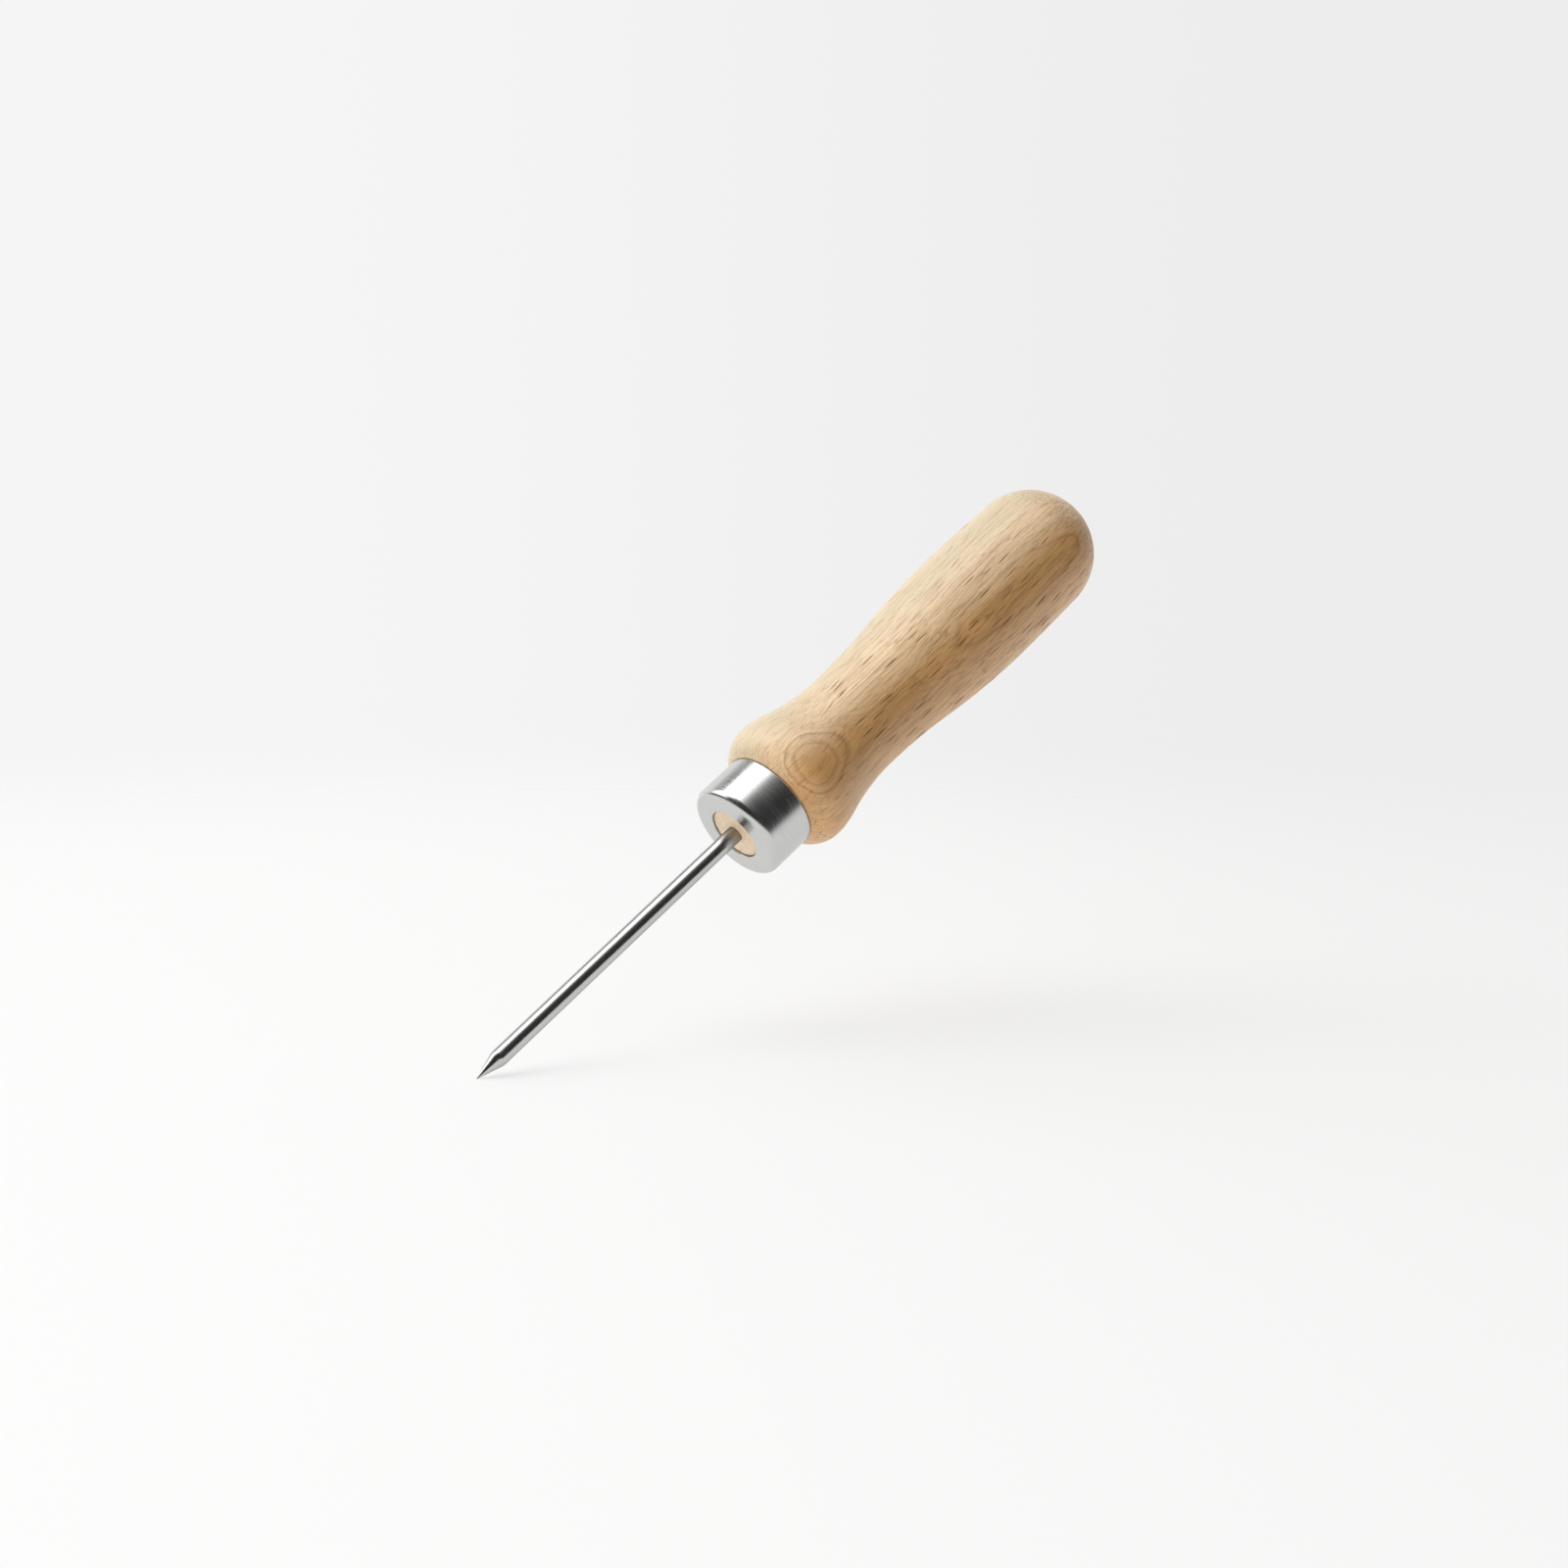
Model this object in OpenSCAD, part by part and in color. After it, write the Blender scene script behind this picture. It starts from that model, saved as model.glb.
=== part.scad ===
// Bradawl: a turned wooden handle, a drawn steel ferrule and a round pointed blade.
// The tool lies on a bench with its axis along X and its point toward +X.
// The bench is the plane Z = 0, and the origin is under the middle of the tool.
// Outlines are drawn as [radius, station], where stations run along the tool's axis:
// 0 is the handle's shoulder, below 0 lies the point's side and above 0 the butt's side.

/* [Handle] */
// Length of the handle from its shoulder to the end of the butt
handle_len = 107; // [90:1:150]
// Diameter of the front bulb at its crown
bulb_d = 30.8; // [27:0.2:40]
// Distance from the shoulder back to the bulb's crown
bulb_pos = 6.2; // [5:0.1:14]
// Diameter of the waist
waist_d = 24.8; // [18:0.2:29]
// Distance from the shoulder back to the waist
waist_pos = 27; // [20:0.5:45]
// Diameter of the long swell that fills the palm
swell_d = 30.6; // [26:0.2:40]
// Distance from the shoulder back to the crown of the swell
swell_pos = 72; // [55:1:85]
// How much smaller the butt's dome is than the swell, in radius
dome_draw = 0.3; // [0.2:0.1:2]
// Share of the way from the bulb's crown to the waist that is rounded outward
bulb_turn = 0.23; // [0.15:0.01:0.6]
// Share of the way from the swell's crown to the waist that is rounded outward
swell_turn = 0.56; // [0.2:0.01:0.7]

/* [Ferrule] */
// Outer diameter of the ferrule
ferrule_d = 23; // [19:0.2:26]
// Length of the ferrule along the tool
ferrule_len = 12; // [7:0.5:16]
// Thickness of the ferrule's side wall
wall_t = 1.2; // [0.8:0.1:2]
// Thickness of the ferrule's front face
face_t = 1.2; // [0.8:0.1:2]
// Diameter of the hole in the front face
hole_d = 12.4; // [8:0.2:16]
// Outside radius of the drawn front edge
edge_r = 1.7; // [0.8:0.1:3]
// Radius of the rounded rear rim
rim_r = 0.5; // [0.2:0.1:0.8]
// Radius that breaks the edge of the hole
hole_edge_r = 0.15; // [0.1:0.05:0.4]

/* [Blade] */
// Diameter of the round shank
blade_d = 3.7; // [2.6:0.1:6]
// Length of the blade in front of the ferrule, point included
blade_out = 77; // [40:1:140]
// Length of the ground point
point_len = 6; // [4:0.5:14]
// Diameter of the flat that honing leaves at the tip
tip_d = 0.2; // [0.1:0.05:0.6]
// Radius that blends the point into the shank
blend_r = 2.5; // [1:0.5:12]
// Distance in front of the ferrule at which the shank starts to taper into the wood
taper_lead = 0.3; // [0.1:0.1:2]
// Depth to which the tapered end of the shank is seated in the handle's nose
seat_depth = 1.5; // [1:0.5:6]
// How much thinner the shank is at the bottom of its seat, in radius
seat_draw = 0.15; // [0.05:0.05:0.4]
// Length of the square tang behind the seat
tang_len = 36; // [20:1:60]
// Width of the tang where it leaves the shank
tang_w = 2.2; // [1.6:0.1:2.2]
// Width of the tang at its inner end
tang_end_w = 1.4; // [0.8:0.1:1.6]

/* [Fits] */
// Gap all round between the ferrule and the tenon it is pressed on
press_gap = 0.05; // [0:0.01:0.2]
// Gap all round between the blade and the wood that grips it
grip_gap = 0.05; // [0:0.01:0.2]
// Gap all round between the handle's nose and the ferrule's hole
nose_gap = 0.2; // [0.1:0.05:0.8]
// How far the nose stops short of the ferrule's front face
nose_recess = 0.5; // [0:0.1:1]
// Room left between the end of the tenon and the ferrule's front wall
tenon_gap = 0.3; // [0.1:0.1:1]
// Room left beyond the inner end of the tang
tang_end_gap = 1; // [0:0.5:4]
// Width of the flat shoulder that shows round the ferrule's rear rim
shoulder_land = 0.2; // [0:0.1:1]

/* [Hidden] */
$fn = 160;
wood = "#d3aa78";
satin_steel = "#c4c6c6";
polished_steel = "#9a9c9d";

// Number of steps that draw a circle of a given radius smoothly
function steps(r) = min(max(round(r * 8), 48), 720);
// Rounds a size to six figures, so that arcs and their centres agree exactly
function fine(v) = let (unit = pow(10, floor(log(abs(v))) - 5)) round(v / unit) * unit;
// Sum of the two radii of an S-curve that runs level at both ends
function s_curve_sum(run, rise) = (run * run + rise * rise) / (2 * rise);
// Length along the tool of an S-curve of a given radius sum and rise
function s_curve_run(sum, rise) = sqrt(rise * (2 * sum - rise));

// Handle: radii of the crowns
bulb_r = bulb_d / 2;
waist_r = waist_d / 2;
swell_r = swell_d / 2;
dome_r = fine(swell_r - dome_draw);
ferrule_r = ferrule_d / 2;
shoulder_r = ferrule_r + shoulder_land;

// Handle: arcs of the outline from the shoulder to the butt, each tangent to the next
front_sum = s_curve_sum(waist_pos - bulb_pos, bulb_r - waist_r);
rear_sum = s_curve_sum(swell_pos - waist_pos, swell_r - waist_r);
front_arc = fine(s_curve_sum(bulb_pos, bulb_r - shoulder_r));
bulb_arc = fine(front_sum * bulb_turn);
neck_arc = fine(front_sum - bulb_arc);
swell_arc = fine(rear_sum * swell_turn);
rise_arc = fine(rear_sum - swell_arc);
waist_at = bulb_pos + s_curve_run(bulb_arc + neck_arc, bulb_r - waist_r);
swell_at = waist_at + s_curve_run(swell_arc + rise_arc, swell_r - waist_r);
tail_run = handle_len - dome_r - swell_at;
tail_arc = fine((tail_run * tail_run + swell_r * swell_r - dome_r * dome_r) / (2 * dome_draw));
dome_at = swell_at + sqrt(pow(tail_arc - dome_r, 2) - pow(tail_arc - swell_r, 2));

// Handle: stations where one arc hands over to the next
bulb_turn_at = bulb_pos + (waist_at - bulb_pos) * bulb_arc / (bulb_arc + neck_arc);
swell_turn_at = swell_at - (swell_at - waist_at) * swell_arc / (swell_arc + rise_arc);
dome_turn_at = dome_at + (dome_at - swell_at) * dome_r / (tail_arc - dome_r);
butt_at = dome_at + dome_r;

// Ferrule: stations and inner sizes
face_at = -ferrule_len;
bore_at = face_at + face_t;
hole_r = hole_d / 2;
bore_r = ferrule_r - wall_t;
bore_edge_r = max(edge_r - wall_t, 0.1);

// Nose and tenon of the handle
tenon_r = bore_r - press_gap;
tenon_at = bore_at + tenon_gap;
tenon_chamfer = bore_edge_r + tenon_gap;
nose_r = hole_r - nose_gap;
nose_at = face_at + nose_recess;

// Blade: stations from the tip to the inner end of the tang
blade_r = blade_d / 2;
tip_at = face_at - blade_out;
taper_at = face_at - taper_lead;
seat_at = nose_at + seat_depth;
seat_r = blade_r - seat_draw;
point_slope = (blade_r - tip_d / 2) / point_len;

// Blade: the arc that blends the point into the shank, and where it touches both
point_angle = atan(point_slope);
blend_turn = blend_r * tan(point_angle / 2);
blend_turn_at = fine(tip_at + point_len - blend_turn * cos(point_angle));
blend_turn_r = fine(tip_d / 2 + (blend_turn_at - tip_at) * point_slope);
blend_at = blend_turn_at + sqrt(pow(blend_r, 2) - pow(blend_turn_r - blade_r + blend_r, 2));

// Place of the axis on the bench
bench_h = max(bulb_r, swell_r, ferrule_r);
middle_at = (tip_at + butt_at) / 2;

// Moves to a point in hundredths and then by what is left, to keep every decimal
module at(p) {
    coarse = [round(p[0] * 100) / 100, round(p[1] * 100) / 100];
    translate(coarse)
        translate(p - coarse)
            children();
}

// Strip of an outline from the axis out to a radius, between two stations
module band(from, to, r) {
    polygon([[0, from], [r, from], [r, to], [0, to]]);
}

// Strip of an outline whose outside is an arc that swells outward
module bulge(from, to, centre, arc) {
    intersection() {
        band(from, to, centre[0] + arc + 1);
        at(centre)
            circle(arc, $fn = steps(arc));
    }
}

// Strip of an outline whose outside is an arc that dips inward
module hollow(from, to, centre, arc, r) {
    difference() {
        band(from, to, r);
        at(centre)
            circle(arc, $fn = steps(arc));
    }
}

// Lays a part that was drawn along its own axis on the bench, point toward +X
module lay_down() {
    translate([middle_at, 0, bench_h])
        rotate([0, -90, 0])
            children();
}

// Outline of the turned handle from the shoulder to the butt
module grip_outline() {
    band(0, bulb_pos, bulb_r / 2);
    bulge(0, bulb_pos, [bulb_r - front_arc, bulb_pos], front_arc);
    bulge(bulb_pos, bulb_turn_at, [bulb_r - bulb_arc, bulb_pos], bulb_arc);
    hollow(bulb_turn_at, waist_at, [waist_r + neck_arc, waist_at], neck_arc, bulb_r);
    hollow(waist_at, swell_turn_at, [waist_r + rise_arc, waist_at], rise_arc, swell_r);
    bulge(swell_turn_at, swell_at, [swell_r - swell_arc, swell_at], swell_arc);
    bulge(swell_at, dome_turn_at, [swell_r - tail_arc, swell_at], tail_arc);
    bulge(dome_turn_at, butt_at + 1, [0, dome_at], dome_r);
}

// Outline of the tenon inside the ferrule and of the nose in the ferrule's hole
module tenon_outline() {
    polygon([
        [0, tenon_at],
        [tenon_r - tenon_chamfer, tenon_at],
        [tenon_r, tenon_at + tenon_chamfer],
        [tenon_r, 0],
        [0, 0],
    ]);
    band(nose_at, 0, nose_r);
}

// Square taper of the tang, made wider and longer by the gaps given
module tang(gap, end_gap) {
    half = tang_w / 2 + gap;
    end_half = tang_end_w / 2 + gap;
    len = tang_len + end_gap;
    intersection_for (turn = [0, 90])
        translate([0, 0, seat_at])
            rotate([90, 0, turn])
                linear_extrude(tang_w * 2, center = true)
                    polygon([[-half, 0], [half, 0], [end_half, len], [-end_half, len]]);
}

// Turned handle with its tenon, its nose and the pocket that grips the blade
module handle() {
    color(wood)
        lay_down()
            difference() {
                rotate_extrude() {
                    grip_outline();
                    tenon_outline();
                }
                rotate_extrude()
                    taper_outline(grip_gap);
                tang(grip_gap, tang_end_gap);
            }
}

// Outside of the ferrule with its drawn front edge and its rounded rear rim
module ferrule_outline() {
    band(face_at, face_at + edge_r, ferrule_r - edge_r);
    bulge(face_at, face_at + edge_r, [ferrule_r - edge_r, face_at + edge_r], edge_r);
    band(face_at + edge_r, -rim_r, ferrule_r);
    band(-rim_r, 0, ferrule_r - rim_r);
    bulge(-rim_r, 0, [ferrule_r - rim_r, -rim_r], rim_r);
}

// Room inside the ferrule, with the round corner that the drawing leaves
module bore_outline() {
    band(bore_at, bore_at + bore_edge_r, bore_r - bore_edge_r);
    bulge(bore_at, bore_at + bore_edge_r, [bore_r - bore_edge_r, bore_at + bore_edge_r], bore_edge_r);
    band(bore_at + bore_edge_r, 1, bore_r);
}

// Hole through the front face, with its outer edge broken
module hole_outline() {
    band(face_at - 1, 1, hole_r);
    difference() {
        band(face_at - 1, face_at + hole_edge_r, hole_r + hole_edge_r);
        at([hole_r + hole_edge_r, face_at + hole_edge_r])
            circle(hole_edge_r, $fn = steps(hole_edge_r));
    }
}

// Drawn cap: side wall, front face and hole
module ferrule() {
    color(satin_steel)
        lay_down()
            rotate_extrude()
                difference() {
                    ferrule_outline();
                    bore_outline();
                    hole_outline();
                }
}

// Outline of the tapered end of the shank, made wider by the gap given
module taper_outline(gap) {
    polygon([
        [0, taper_at],
        [blade_r + gap, taper_at],
        [seat_r + gap, seat_at],
        [0, seat_at],
    ]);
}

// Outline of the shank and its ground point
module shank_outline() {
    polygon([
        [0, tip_at],
        [tip_d / 2, tip_at],
        [blend_turn_r, blend_turn_at],
        [0, blend_turn_at],
    ]);
    bulge(blend_turn_at, blend_at, [blade_r - blend_r, blend_at], blend_r);
    band(blend_at, taper_at, blade_r);
    taper_outline(0);
}

// Round shank with its point, and the square tang that is driven into the handle
module blade() {
    color(polished_steel)
        lay_down() {
            rotate_extrude()
                shank_outline();
            tang(0, 0);
        }
}

handle();
ferrule();
blade();
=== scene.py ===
# Bradawl: the finish of its three pieces, the photograph's camera, a pale floor and studio light.
import math

import bpy
from mathutils import Matrix, Vector


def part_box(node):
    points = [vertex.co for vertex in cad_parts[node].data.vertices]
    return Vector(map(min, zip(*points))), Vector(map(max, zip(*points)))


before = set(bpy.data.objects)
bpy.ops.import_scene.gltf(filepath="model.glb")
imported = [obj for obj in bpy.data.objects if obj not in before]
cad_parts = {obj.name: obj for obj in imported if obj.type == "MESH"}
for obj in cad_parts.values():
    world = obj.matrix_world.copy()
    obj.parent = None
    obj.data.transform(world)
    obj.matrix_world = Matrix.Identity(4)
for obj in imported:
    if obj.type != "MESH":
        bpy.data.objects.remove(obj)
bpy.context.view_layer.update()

# Camera, fitted to the photograph: sizes of the picture, and where and how far the tip is seen
PHOTO_SIDE = 1600
FOCAL_PIXELS = 2300
SENSOR_WIDTH = 36
CLIP_NEAR = 0.01
CLIP_FAR = 20.0
TIP_PIXEL = (486.4, 1101.0)
TIP_DEPTH = 0.4478
# Direction from the tip to the butt and slope of the floor, in the camera's own axes
TOOL_SEEN = Vector((0.6536, 0.6199, -0.4343))
FLOOR_PITCH = math.radians(6)

# Floor, in metres: half its side, and the distances from the tip over which it melts into the backdrop
FLOOR_HALF = 2.0
FLOOR_FADE = (0.25, 0.9)
FLOOR_COLOR = (0.72, 0.72, 0.715, 1.0)
# Plain tone that lifts the floor's shadows, its share, and how it dims from left to right of the tip
FLOOR_SEEN = (0.92, 0.92, 0.917, 1.0)
SHADOW_LIFT = 0.6
FLOOR_DIM_SPAN = (-0.05, 0.25)
FLOOR_DIM_LEVELS = (1.0, 0.945)
# Backdrop as the camera sees it, from left to right
BACKDROP_SPAN = (-0.25, 0.25)
BACKDROP_LEVELS = (0.912, 0.845)

# Studio as radiance: the dark room, and each bright area's own with the smooth edges that bound it.
# An edge has the direction it runs along, where it starts and stops, and the share at either end.
ROOM_LIGHT = 0.035
OVERHEAD_PANEL = (2.1, (("front", 0.23, 0.41, 1.0, 0.0), ("front", -0.34, -0.22, 0.0, 1.0),
                        ("right", 0.05, 0.35, 1.0, 0.0), ("front", -0.3, 0.3, 1.2, 0.8),
                        ("up", 0.15, 0.40, 0.0, 1.0)))
PANEL_GLOW = (0.6, (("front", 0.25, 0.58, 1.0, 0.0), ("front", -0.40, -0.20, 0.0, 1.0),
                    ("up", 0.5, 0.8, 0.0, 1.0)))
PALE_BACKDROP = (0.95, (("front", -0.55, -0.2, 1.0, 0.0), ("up", 0.45, 0.85, 1.0, 0.25),
                        ("right", -0.2, 0.6, 1.1, 0.8)))
FLOOR_BOUNCE = (0.72, (("up", -0.12, -0.03, 1.0, 0.0), ("front", -0.1, 0.9, 1.0, 0.2)))
WHITE = (1.0, 1.0, 1.0, 1.0)

# Soft lamps, which the metal doesn't mirror: size and distance in metres, power in watts,
# and direction as shares to the right, up and to the front
LAMP_SIZE = 0.9
LAMP_DISTANCE = 1.2
KEY_POWER = 5.0
KEY_TOWARD = (-0.38, 0.75, -0.54)
FILL_POWER = 10.0
FILL_TOWARD = (-0.60, 0.52, 0.61)

# Millimetres in a metre, and the middle of a noise's range
MM = 1000.0
NOISE_MIDDLE = 0.5

# Wood, in millimetres: width of a growth ring, and where the pith runs beside the tool's axis
RING_WIDTH = 1.5
PITH_DEPTH = 40.0
PITH_ASIDE = 5.0
# How far the rings and the fibres move aside for each millimetre along the tool
RING_SLOPE = 0.085
FIBRE_SLOPE = -0.04
# Bends of the grain: steps for each millimetre along and across the tool, and how far they reach
SLOW_BEND = ((0.018, 0.05, 0.05), 4.0)
QUICK_BEND = ((0.09, 0.30, 0.30), 0.9)
BEND_DETAIL = 1.0
# Dark line between two rings: its end and start as shares of a ring, and the faintest one's strength
LATE_END = 0.10
LATE_START = 0.82
FAINTEST_RING = 0.35
# Breaks in that line, where the fibres are pale
LATE_BREAK_SPAN = (0.35, 0.65)
LATE_BREAK_SHARE = (0.35, 1.15)
# Noises of the grain: steps for each millimetre along the tool, along the rings and across them,
# then detail and roughness. The layers' first number is steps for each ring.
LAYER_NOISE = ((3.2, 1.0, 1.0), 3.0, 0.6)
STREAK_NOISE = ((0.03, 0.5, 0.5), 2.0, 0.5)
FIBRE_NOISE = ((0.07, 2.5, 0.9), 2.0, 0.6)
LINE_NOISE = ((0.04, 1.7, 0.6), 1.0, 0.5)
GRIT_NOISE = ((1.2, 3.3, 3.3), 2.0, 0.5)
SPECK_NOISE = ((0.8, 3.0, 3.0), 1.0, 0.5)
# Part of each noise over which its mark comes in, and the half width of a line about the noise's middle
LAYER_SPAN = (0.42, 0.66)
STREAK_SPAN = (0.35, 0.72)
FIBRE_SPAN = (0.46, 0.70)
SPECK_SPAN = (0.45, 0.75)
LINE_HALF = 0.06
# Dashes: the cell that holds one, in millimetres, then core and edge as shares of it, and the chance
# below which a cell stays empty. The rise is how much more chance brings a dash to its full strength.
RAY_DASHES = ((11.0, 0.62, 5.0), 0.12, 0.26, 0.05)
PORE_DASHES = ((4.5, 0.6, 4.0), 0.08, 0.25, 0.30)
DASH_RISE = 0.3
# Places along the handle: the bulb from its back, the dome from its end, and the nose inside the ferrule
BULB_BEHIND_SHOULDER = (25.0, 12.0)
DOME_FROM_BUTT = (6.0, 22.0)
NOSE_PAST_SHOULDER = (5.0, 7.0)
# What changes there and on the side with the painted highlight, as a share added to one
RAYS_AT_ENDS = -0.45
RAYS_ON_HIGHLIGHT_SIDE = -0.35
LAYERS_AT_ENDS = 0.9
FINE_MARKS_ON_BULB = -0.5
LATE_ON_BULB = -0.3
MARKS_ON_HIGHLIGHT_SIDE = -0.5
MARKS_ON_NOSE = -0.4
# Tones across the board, in millimetres aside of the axis, painted as light and shade: highlight, lit,
# shade and bounce, and the end grain
PAINTED_HIGHLIGHT_ASIDE = (-13.0, -4.0)
PAINTED_SHADE_ASIDE = (-4.0, 4.0)
PAINTED_BOUNCE_ASIDE = (6.0, 13.0)
# How much further the painted shade reaches toward the lit side on the bulb, in millimetres
BULB_SHADE_SHIFT = 1.5
PAINTED_BOUNCE_SHARE = 0.8
END_SHARE = 0.95
# The paler, lighter, warmer and golden tones are painted light: a painted highlight on the lit side,
# painted shade in the middle and painted bounce light on the far flank. The end grain's tone is its own.
PAINTED_HIGHLIGHT_WOOD = (0.59, 0.475, 0.300)
PAINTED_LIT_WOOD = (0.79, 0.565, 0.325)
PAINTED_SHADE_WOOD = (0.67, 0.368, 0.125)
PAINTED_BOUNCE_WOOD = (0.82, 0.48, 0.185)
END_WOOD = (0.82, 0.66, 0.46)
# Marks in the wood: the strength of each, and the tint that it multiplies the wood's tone by
MARKS = {
    "streak": (0.26, (0.68, 0.58, 0.48)),
    "late": (0.42, (0.62, 0.47, 0.34)),
    "layer": (0.28, (0.58, 0.46, 0.36)),
    "fibre": (0.37, (0.52, 0.40, 0.31)),
    "line": (0.45, (0.40, 0.29, 0.19)),
    "speck": (0.20, (0.48, 0.36, 0.25)),
    "pore": (0.36, (0.36, 0.25, 0.12)),
    "ray": (1.0, (0.34, 0.23, 0.09)),
}
# Surface of the wood: relief in metres, shares of it, and how the open grain dulls the oiled shine
RELIEF_DEPTH = 0.00018
RELIEF_STRENGTH = 0.5
FIBRE_HEIGHT = 0.5
DASH_HEIGHT = -0.4
WOOD_SHINE = 0.9
OPEN_GRAIN_SHINE = -0.8
LINE_OPENNESS = 0.4
WOOD_ROUGHNESS_SPAN = (0.2, 0.8)
WOOD_ROUGHNESS = (0.36, 0.48)
WOOD_IOR = 1.6
WOOD_SHEEN = 0.16
WOOD_SHEEN_ROUGHNESS = 0.4

# Metal: steps of its marks for each millimetre along and across the tool, then detail.
# A relief has its depth in metres and its strength.
BRUSH_NOISE = ((3.0, 0.18, 0.18), 2.0)
BRUSH_RELIEF = (0.000008, 0.5)
GRIND_NOISE = ((12.0, 0.5, 0.5), 2.0)
GRIND_RELIEF = (0.000002, 0.5)
# Part of those marks over which the roughness changes, and its two ends on each piece
METAL_SPAN = (0.25, 0.75)
FERRULE_ROUGHNESS = (0.19, 0.28)
BLADE_ROUGHNESS = (0.17, 0.24)
FERRULE_COLOR = (0.64, 0.64, 0.63, 1.0)
FERRULE_EDGE_TINT = (0.85, 0.85, 0.85, 1.0)
BLADE_COLOR = (0.58, 0.58, 0.57)
BLADE_EDGE_TINT = (0.4, 0.4, 0.4, 1.0)
# Root of the blade, in millimetres: how far behind the ferrule's face its painted brown reflection of the
# wood starts, and how far it and its dullness reach from there
ROOT_RECESS = 0.5
PAINTED_REFLECTION_LENGTH = 4.0
PAINTED_REFLECTION_SHARE = 0.8
PAINTED_REFLECTION_COLOR = (0.30, 0.24, 0.19)
DULL_LENGTH = 6.0
DULL_ROUGHNESS = 0.20


class Graph:
    """Builds one node tree with short calls."""

    # Places of the sockets for colours on a mix node
    MIX_FACTOR = 0
    MIX_FIRST = 6
    MIX_SECOND = 7
    MIX_RESULT = 2

    def __init__(self, tree):
        self.tree = tree
        tree.nodes.clear()

    def node(self, kind, inputs=None, **settings):
        """Adds a node, sets its properties, and links or sets the inputs given by name or place."""
        made = self.tree.nodes.new(kind)
        for name, value in settings.items():
            setattr(made, name, value)
        for key, value in (inputs or {}).items():
            if isinstance(value, bpy.types.NodeSocket):
                self.tree.links.new(value, made.inputs[key])
            else:
                made.inputs[key].default_value = value
        return made

    def math(self, operation, a, b=0.0, c=0.0):
        return self.node("ShaderNodeMath", {0: a, 1: b, 2: c}, operation=operation).outputs[0]

    def product(self, first, *others):
        """Multiplies all the values."""
        for other in others:
            first = self.math("MULTIPLY", first, other)
        return first

    def one_plus(self, mask, change):
        """One, with the change added where the mask is full."""
        return self.math("MULTIPLY_ADD", mask, change, 1.0)

    def vector(self, operation, a, b=(0.0, 0.0, 0.0)):
        made = self.node("ShaderNodeVectorMath", {0: a, 1: b}, operation=operation)
        return made.outputs["Value" if operation in ("DOT_PRODUCT", "LENGTH") else "Vector"]

    def join(self, x, y=0.0, z=0.0):
        """Makes a vector of three values."""
        return self.node("ShaderNodeCombineXYZ", {0: x, 1: y, 2: z}).outputs[0]

    def smooth(self, value, low, high, start=0.0, end=1.0):
        """Runs smoothly from start to end while the value goes from low to high."""
        inputs = {"Value": value, "From Min": low, "From Max": high, "To Min": start, "To Max": end}
        return self.node("ShaderNodeMapRange", inputs, interpolation_type="SMOOTHSTEP").outputs["Result"]

    def mix(self, factor, first, second, blend="MIX"):
        """Blends two colours, each a socket or three numbers."""
        inputs = {self.MIX_FACTOR: factor}
        for place, colour in ((self.MIX_FIRST, first), (self.MIX_SECOND, second)):
            linked = isinstance(colour, bpy.types.NodeSocket)
            inputs[place] = colour if linked else (*colour, 1.0)
        made = self.node("ShaderNodeMix", inputs, data_type="RGBA", blend_type=blend)
        return made.outputs[self.MIX_RESULT]

    def noise(self, vector, steps, detail, roughness=0.5, output="Fac"):
        """Smooth noise with so many steps for each unit along each axis."""
        inputs = {"Vector": self.vector("MULTIPLY", vector, steps), "Scale": 1.0, "Detail": detail,
                  "Roughness": roughness}
        return self.node("ShaderNodeTexNoise", inputs).outputs[output]

    def shake(self, vector, steps, reach):
        """Smooth offsets across the tool, of up to half the reach each way."""
        colour = self.noise(vector, steps, BEND_DETAIL, output="Color")
        centred = self.vector("SUBTRACT", colour, [NOISE_MIDDLE] * 3)
        return self.vector("MULTIPLY", centred, (0.0, reach, reach))

    def dashes(self, vector, cell, core, edge, rare):
        """Scattered spots, one in each cell at most, of random strength."""
        scaled = self.vector("MULTIPLY", vector, [1 / size for size in cell])
        cells = self.node("ShaderNodeTexVoronoi", {"Vector": scaled, "Scale": 1.0, "Randomness": 1.0})
        spot = self.smooth(cells.outputs["Distance"], core, edge, 1.0, 0.0)
        chance = self.node("ShaderNodeSeparateColor", {0: cells.outputs["Color"]}).outputs[0]
        return self.product(spot, self.smooth(chance, rare, rare + DASH_RISE))

    def bump(self, height, distance, strength):
        inputs = {"Height": height, "Distance": distance, "Strength": strength}
        return self.node("ShaderNodeBump", inputs).outputs["Normal"]

    def rays(self, *kinds):
        """One for light paths of the given kinds, and zero for all others."""
        path = self.node("ShaderNodeLightPath")
        chosen = path.outputs[kinds[0]]
        for kind in kinds[1:]:
            chosen = self.math("MAXIMUM", chosen, path.outputs[kind])
        return chosen


def axes_from(first, second):
    """Orthonormal axes as columns: along first, then in the plane of both."""
    one = first.normalized()
    three = one.cross(second).normalized()
    two = three.cross(one)
    return Matrix((one, two, three)).transposed()


# Places on the tool, from the frame: its axis and tip in metres, then stations along it in millimetres
blade_low, blade_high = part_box("blade")
axis_height = (blade_low.z + blade_high.z) / 2
tip = Vector((blade_high.x, 0.0, axis_height))
butt_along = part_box("handle")[0].x * MM
shoulder_along, face_along = (corner.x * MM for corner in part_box("ferrule"))
bulb_along = [shoulder_along - behind for behind in BULB_BEHIND_SHOULDER]
dome_along = [butt_along + past for past in DOME_FROM_BUTT]
nose_along = [shoulder_along + past for past in NOSE_PAST_SHOULDER]
root_along = face_along - ROOT_RECESS

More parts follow.
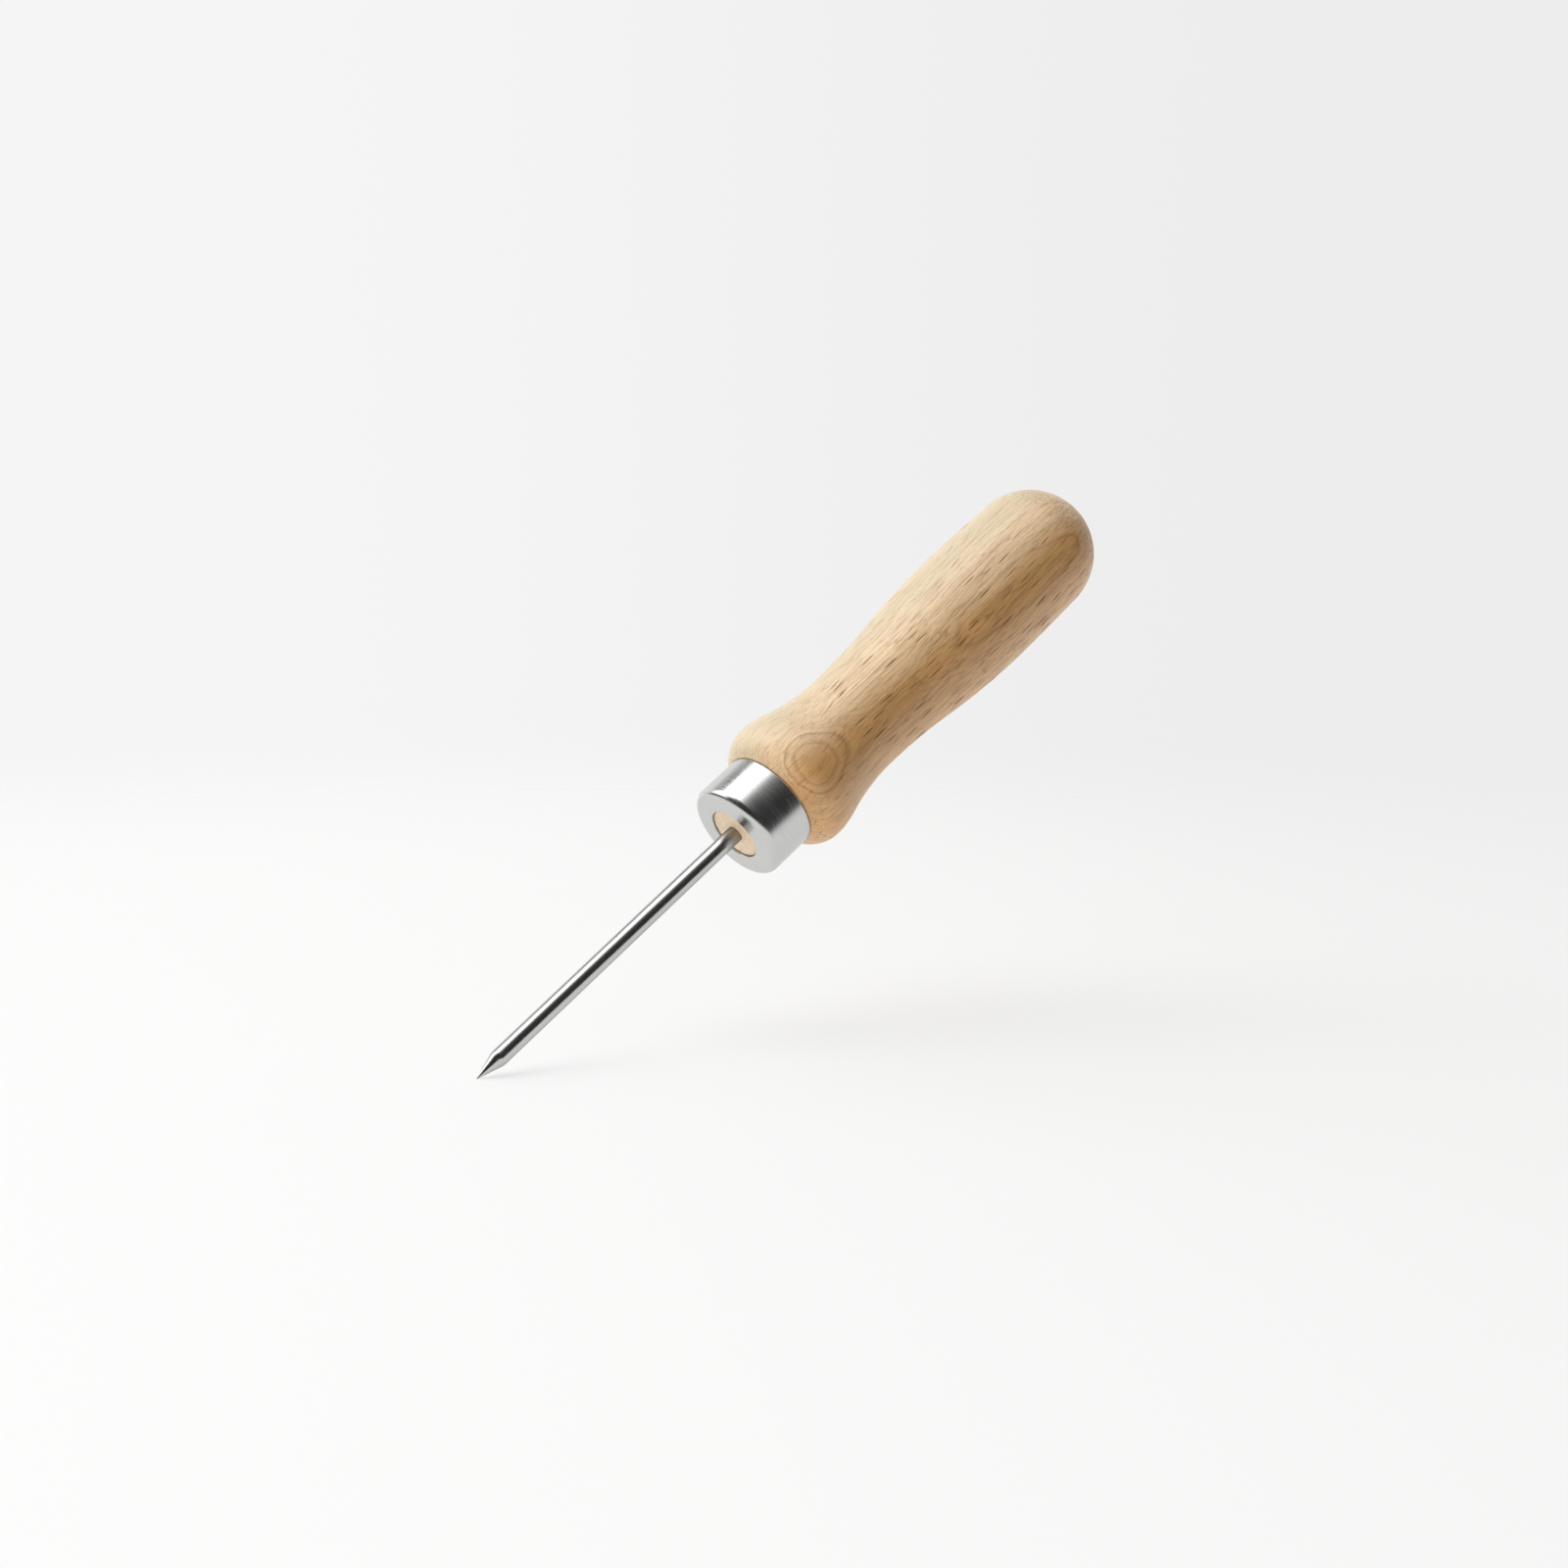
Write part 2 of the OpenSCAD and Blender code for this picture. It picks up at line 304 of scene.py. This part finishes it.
# The camera's axes in the frame: the tool lies along X and the floor's normal leans in the XZ plane
floor_seen = Vector((0.0, math.cos(FLOOR_PITCH), math.sin(FLOOR_PITCH)))
lean = math.asin(TOOL_SEEN.normalized().dot(floor_seen))
floor_normal = Vector((-math.sin(lean), 0.0, math.cos(lean)))
to_butt = Vector((-1.0, 0.0, 0.0))
camera_axes = axes_from(to_butt, floor_normal) @ axes_from(TOOL_SEEN, floor_seen).transposed()
photo_right = camera_axes.col[0].copy()
photo_front = photo_right.cross(floor_normal)
# The side of the handle that shows its flat-sawn figure, and the direction along its rings
heart_side = Vector((0.0, *camera_axes.col[2][1:])).normalized()
heart_aside = heart_side.cross(Vector((1.0, 0.0, 0.0)))


def make_camera():
    """Camera at the photograph's viewing angle."""
    data = bpy.data.cameras.new("photo_camera")
    data.sensor_width = SENSOR_WIDTH
    data.lens = SENSOR_WIDTH * FOCAL_PIXELS / PHOTO_SIDE
    data.clip_start = CLIP_NEAR
    data.clip_end = CLIP_FAR
    tip_right = (TIP_PIXEL[0] - PHOTO_SIDE / 2) / FOCAL_PIXELS * TIP_DEPTH
    tip_up = (PHOTO_SIDE / 2 - TIP_PIXEL[1]) / FOCAL_PIXELS * TIP_DEPTH
    tip_seen = Vector((tip_right, tip_up, -TIP_DEPTH))
    camera = bpy.data.objects.new("photo_camera", data)
    bpy.context.scene.collection.objects.link(camera)
    camera.matrix_world = Matrix.Translation(tip - camera_axes @ tip_seen) @ camera_axes.to_4x4()
    bpy.context.scene.camera = camera


def make_material(name, build):
    """Makes a material and lets build fill its node tree."""
    material = bpy.data.materials.new(name)
    material.use_nodes = True
    build(Graph(material.node_tree))
    return material


def build_paper(graph):
    """Pale paper whose shadows are lifted, which fades out with distance and from below."""
    place = graph.node("ShaderNodeNewGeometry")
    from_tip = graph.vector("SUBTRACT", place.outputs["Position"], tip)
    near = graph.smooth(graph.vector("LENGTH", from_tip), *FLOOR_FADE, 1.0, 0.0)
    above = graph.math("SUBTRACT", 1.0, place.outputs["Backfacing"])
    paper = graph.node("ShaderNodeBsdfDiffuse", {"Color": FLOOR_COLOR})
    beside = graph.vector("DOT_PRODUCT", from_tip, photo_right)
    dimming = graph.smooth(beside, *FLOOR_DIM_SPAN, *FLOOR_DIM_LEVELS)
    plain = graph.node("ShaderNodeEmission", {"Color": FLOOR_SEEN, "Strength": dimming})
    seen = graph.rays("Is Camera Ray", "Is Transmission Ray", "Is Glossy Ray")
    lift = graph.product(seen, SHADOW_LIFT)
    lifted = graph.node("ShaderNodeMixShader", {0: lift, 1: paper.outputs[0], 2: plain.outputs[0]})
    clear = graph.node("ShaderNodeBsdfTransparent")
    shown = graph.product(near, above)
    mixed = graph.node("ShaderNodeMixShader", {0: shown, 1: clear.outputs[0], 2: lifted.outputs[0]})
    graph.node("ShaderNodeOutputMaterial", {"Surface": mixed.outputs[0]})


def make_floor():
    """Level floor that the tip stands on."""
    half = FLOOR_HALF
    sides = axes_from(photo_right, photo_front)
    corners = [sides @ Vector((x, y, 0.0)) + tip for x, y in
               ((-half, -half), (half, -half), (half, half), (-half, half))]
    mesh = bpy.data.meshes.new("floor")
    mesh.from_pydata(corners, [], [(0, 1, 2, 3)])
    if mesh.polygons[0].normal.dot(floor_normal) < 0:
        mesh.flip_normals()
    floor = bpy.data.objects.new("floor", mesh)
    bpy.context.scene.collection.objects.link(floor)
    mesh.materials.append(make_material("floor_paper", build_paper))


def make_world():
    """Studio as seen from the tool: a soft panel overhead, a pale backdrop and a dark room in front."""
    world = bpy.data.worlds.new("studio")
    world.use_nodes = True
    graph = Graph(world.node_tree)
    look = graph.node("ShaderNodeTexCoord").outputs["Generated"]
    toward = {"right": graph.vector("DOT_PRODUCT", look, photo_right),
              "up": graph.vector("DOT_PRODUCT", look, floor_normal),
              "front": graph.vector("DOT_PRODUCT", look, photo_front)}
    light = ROOM_LIGHT
    for level, edges in (OVERHEAD_PANEL, PANEL_GLOW, PALE_BACKDROP, FLOOR_BOUNCE):
        share = graph.product(*(graph.smooth(toward[name], *span) for name, *span in edges))
        light = graph.math("MULTIPLY_ADD", share, level, light)
    studio = graph.node("ShaderNodeBackground", {"Color": WHITE, "Strength": light})
    seen_level = graph.smooth(toward["right"], *BACKDROP_SPAN, *BACKDROP_LEVELS)
    plain = graph.node("ShaderNodeBackground", {"Color": WHITE, "Strength": seen_level})
    seen = graph.rays("Is Camera Ray", "Is Transmission Ray")
    chosen = graph.node("ShaderNodeMixShader", {0: seen, 1: studio.outputs[0], 2: plain.outputs[0]})
    graph.node("ShaderNodeOutputWorld", {"Surface": chosen.outputs[0]})
    bpy.context.scene.world = world


def make_lamp(name, power, toward, shadow):
    """Large soft lamp that shines on the middle of the tool, and which the metal doesn't mirror."""
    data = bpy.data.lights.new(name, "AREA")
    data.shape = "SQUARE"
    data.size = LAMP_SIZE
    data.energy = power
    data.use_shadow = shadow
    lamp = bpy.data.objects.new(name, data)
    bpy.context.scene.collection.objects.link(lamp)
    level = Matrix((photo_right, floor_normal, photo_front)).transposed()
    away = (level @ Vector(toward)).normalized()
    middle = Vector((0.0, 0.0, axis_height))
    turn = away.to_track_quat("Z", "Y").to_matrix().to_4x4()
    lamp.matrix_world = Matrix.Translation(middle + away * LAMP_DISTANCE) @ turn
    lamp.visible_glossy = False


def on_axis(graph):
    """Coordinates in millimetres with the tool's axis at zero height."""
    inputs = {"Vector": graph.node("ShaderNodeTexCoord").outputs["Object"],
              "Location": (0.0, 0.0, -axis_height * MM), "Scale": (MM, MM, MM)}
    return graph.node("ShaderNodeMapping", inputs).outputs["Vector"]


def along_axis(graph, place):
    """Station along the tool."""
    return graph.node("ShaderNodeSeparateXYZ", {0: place}).outputs["X"]


def bend_grain(graph, place):
    """Coordinates moved by the slow and quick bends of the grain."""
    slow = graph.shake(place, *SLOW_BEND)
    quick = graph.shake(place, *QUICK_BEND)
    return graph.vector("ADD", graph.vector("ADD", place, slow), quick)


def count_rings(graph, along, aside, depth):
    """Distance from the pith, counted in growth rings."""
    sloped = graph.math("MULTIPLY_ADD", along, RING_SLOPE, aside)
    from_pith = graph.join(graph.math("SUBTRACT", depth, PITH_DEPTH),
                           graph.math("SUBTRACT", sloped, PITH_ASIDE))
    return graph.math("DIVIDE", graph.vector("LENGTH", from_pith), RING_WIDTH)


def draw_latewood(graph, rings):
    """Dark line between each two rings, stronger in some years than in others."""
    year = graph.math("FRACT", rings)
    line = graph.math("MAXIMUM", graph.smooth(year, 0.0, LATE_END, 1.0, 0.0),
                      graph.smooth(year, LATE_START, 1.0))
    number = {"W": graph.math("FLOOR", rings)}
    season = graph.node("ShaderNodeTexWhiteNoise", number, noise_dimensions="1D").outputs["Value"]
    return graph.product(line, graph.smooth(season, 0.0, 1.0, FAINTEST_RING, 1.0))


def tone_board(graph, aside, highlight_side, bulb, nose):
    """Tone of the wood under its marks, with painted light across the board: painted highlight, painted
    shade and painted bounce light.
    """
    shade_share = graph.smooth(graph.math("MULTIPLY_ADD", bulb, BULB_SHADE_SHIFT, aside), *PAINTED_SHADE_ASIDE)
    tone = graph.mix(shade_share, PAINTED_LIT_WOOD, PAINTED_SHADE_WOOD)
    tone = graph.mix(graph.smooth(aside, *PAINTED_BOUNCE_ASIDE, 0.0, PAINTED_BOUNCE_SHARE), tone, PAINTED_BOUNCE_WOOD)
    tone = graph.mix(highlight_side, tone, PAINTED_HIGHLIGHT_WOOD)
    return graph.mix(graph.product(nose, END_SHARE), tone, END_WOOD)


def build_beech(graph):
    """Oiled beech: growth rings round a pith in front of the tool, fine fibres and short dark rays, over a
    tone with painted highlight, shade and bounce light.
    """
    place = on_axis(graph)
    along = along_axis(graph, place)
    bent = bend_grain(graph, place)
    depth = graph.vector("DOT_PRODUCT", bent, heart_side)
    aside = graph.vector("DOT_PRODUCT", bent, heart_aside)
    grain = graph.join(along, graph.math("MULTIPLY_ADD", along, FIBRE_SLOPE, aside), depth)
    rings = count_rings(graph, along, aside, depth)

    bulb = graph.smooth(along, *bulb_along)
    dome = graph.smooth(along, *dome_along, 1.0, 0.0)
    ends = graph.math("MAXIMUM", bulb, dome)
    nose = graph.smooth(along, *nose_along)
    # Side of the handle that carries the painted highlight, where the marks are painted fainter too
    highlight_side = graph.smooth(aside, *PAINTED_HIGHLIGHT_ASIDE, 1.0, 0.0)
    arch = graph.one_plus(ends, LAYERS_AT_ENDS)
    calm = graph.one_plus(bulb, FINE_MARKS_ON_BULB)

    fibre = graph.noise(grain, *FIBRE_NOISE)
    lines = graph.noise(grain, *LINE_NOISE)
    from_middle = graph.math("ABSOLUTE", graph.math("SUBTRACT", lines, NOISE_MIDDLE))
    line = graph.smooth(from_middle, 0.0, LINE_HALF, 1.0, 0.0)
    pore = graph.dashes(grain, *PORE_DASHES)
    ray = graph.product(graph.dashes(grain, *RAY_DASHES), graph.one_plus(ends, RAYS_AT_ENDS))
    breaks = graph.smooth(fibre, *LATE_BREAK_SPAN, *LATE_BREAK_SHARE)
    layers = graph.smooth(graph.noise(graph.join(rings), *LAYER_NOISE), *LAYER_SPAN)
    specks = graph.smooth(graph.noise(grain, *SPECK_NOISE), *SPECK_SPAN)
    shown = {
        "streak": graph.smooth(graph.noise(grain, *STREAK_NOISE), *STREAK_SPAN),
        "late": graph.product(draw_latewood(graph, rings), graph.one_plus(bulb, LATE_ON_BULB), breaks),
        "layer": graph.product(layers, arch),
        "fibre": graph.product(graph.smooth(fibre, *FIBRE_SPAN), calm),
        "line": graph.product(line, calm),
        "speck": graph.product(specks, calm),
        "pore": pore,
        "ray": graph.product(ray, graph.one_plus(highlight_side, RAYS_ON_HIGHLIGHT_SIDE)),
    }
    tone = tone_board(graph, aside, highlight_side, bulb, nose)
    # Marks fade under the painted highlight and on the end grain of the nose
    figure = graph.product(graph.one_plus(highlight_side, MARKS_ON_HIGHLIGHT_SIDE), graph.one_plus(nose, MARKS_ON_NOSE))
    for name, (strength, tint) in MARKS.items():
        tone = graph.mix(graph.product(shown[name], strength, figure), tone, tint, "MULTIPLY")

    height = graph.math("MULTIPLY_ADD", fibre, FIBRE_HEIGHT, graph.noise(grain, *GRIT_NOISE))
    for dash in (ray, pore):
        height = graph.math("MULTIPLY_ADD", dash, DASH_HEIGHT, height)
    opened = graph.math("MAXIMUM", graph.math("MAXIMUM", ray, pore), graph.product(line, LINE_OPENNESS))
    surface = graph.node("ShaderNodeBsdfPrincipled", {
        "Base Color": tone,
        "Roughness": graph.smooth(fibre, *WOOD_ROUGHNESS_SPAN, *WOOD_ROUGHNESS),
        "Specular IOR Level": graph.math("MULTIPLY_ADD", opened, OPEN_GRAIN_SHINE, WOOD_SHINE),
        "Normal": graph.bump(height, RELIEF_DEPTH, RELIEF_STRENGTH),
        "IOR": WOOD_IOR,
        "Sheen Weight": WOOD_SHEEN,
        "Sheen Roughness": WOOD_SHEEN_ROUGHNESS,
    })
    graph.node("ShaderNodeOutputMaterial", {"Surface": surface.outputs[0]})


def build_ferrule_steel(graph):
    """Satin drawn steel, brushed round the ferrule."""
    brushed = graph.noise(on_axis(graph), *BRUSH_NOISE)
    surface = graph.node("ShaderNodeBsdfPrincipled", {
        "Base Color": FERRULE_COLOR,
        "Metallic": 1.0,
        "Roughness": graph.smooth(brushed, *METAL_SPAN, *FERRULE_ROUGHNESS),
        "Specular Tint": FERRULE_EDGE_TINT,
        "Normal": graph.bump(brushed, *BRUSH_RELIEF),
    })
    graph.node("ShaderNodeOutputMaterial", {"Surface": surface.outputs[0]})


def build_blade_steel(graph):
    """Polished tool steel with faint grinding marks, dulled where it enters the wood, with a painted brown
    reflection of the wood there.
    """
    place = on_axis(graph)
    along = along_axis(graph, place)
    # Painted reflection: the wood's brown, painted into the steel near the root
    painted_reflection = graph.smooth(along, root_along, root_along + PAINTED_REFLECTION_LENGTH, 1.0, 0.0)
    dull = graph.smooth(along, root_along, root_along + DULL_LENGTH, 1.0, 0.0)
    ground = graph.noise(place, *GRIND_NOISE)
    rough = graph.smooth(ground, *METAL_SPAN, *BLADE_ROUGHNESS)
    surface = graph.node("ShaderNodeBsdfPrincipled", {
        "Base Color": graph.mix(graph.product(painted_reflection, PAINTED_REFLECTION_SHARE), BLADE_COLOR, PAINTED_REFLECTION_COLOR),
        "Metallic": 1.0,
        "Roughness": graph.math("MULTIPLY_ADD", dull, DULL_ROUGHNESS, rough),
        "Specular Tint": BLADE_EDGE_TINT,
        "Normal": graph.bump(ground, *GRIND_RELIEF),
    })
    graph.node("ShaderNodeOutputMaterial", {"Surface": surface.outputs[0]})


FINISHES = {"handle": build_beech, "ferrule": build_ferrule_steel, "blade": build_blade_steel}


def dress_pieces():
    """Gives each piece its finish."""
    for node, build in FINISHES.items():
        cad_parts[node].material_slots[0].material = make_material(node + "_finish", build)


make_camera()
make_floor()
make_world()
make_lamp("key", KEY_POWER, KEY_TOWARD, True)
make_lamp("fill", FILL_POWER, FILL_TOWARD, False)
dress_pieces()
bpy.context.scene.view_settings.view_transform = "Standard"
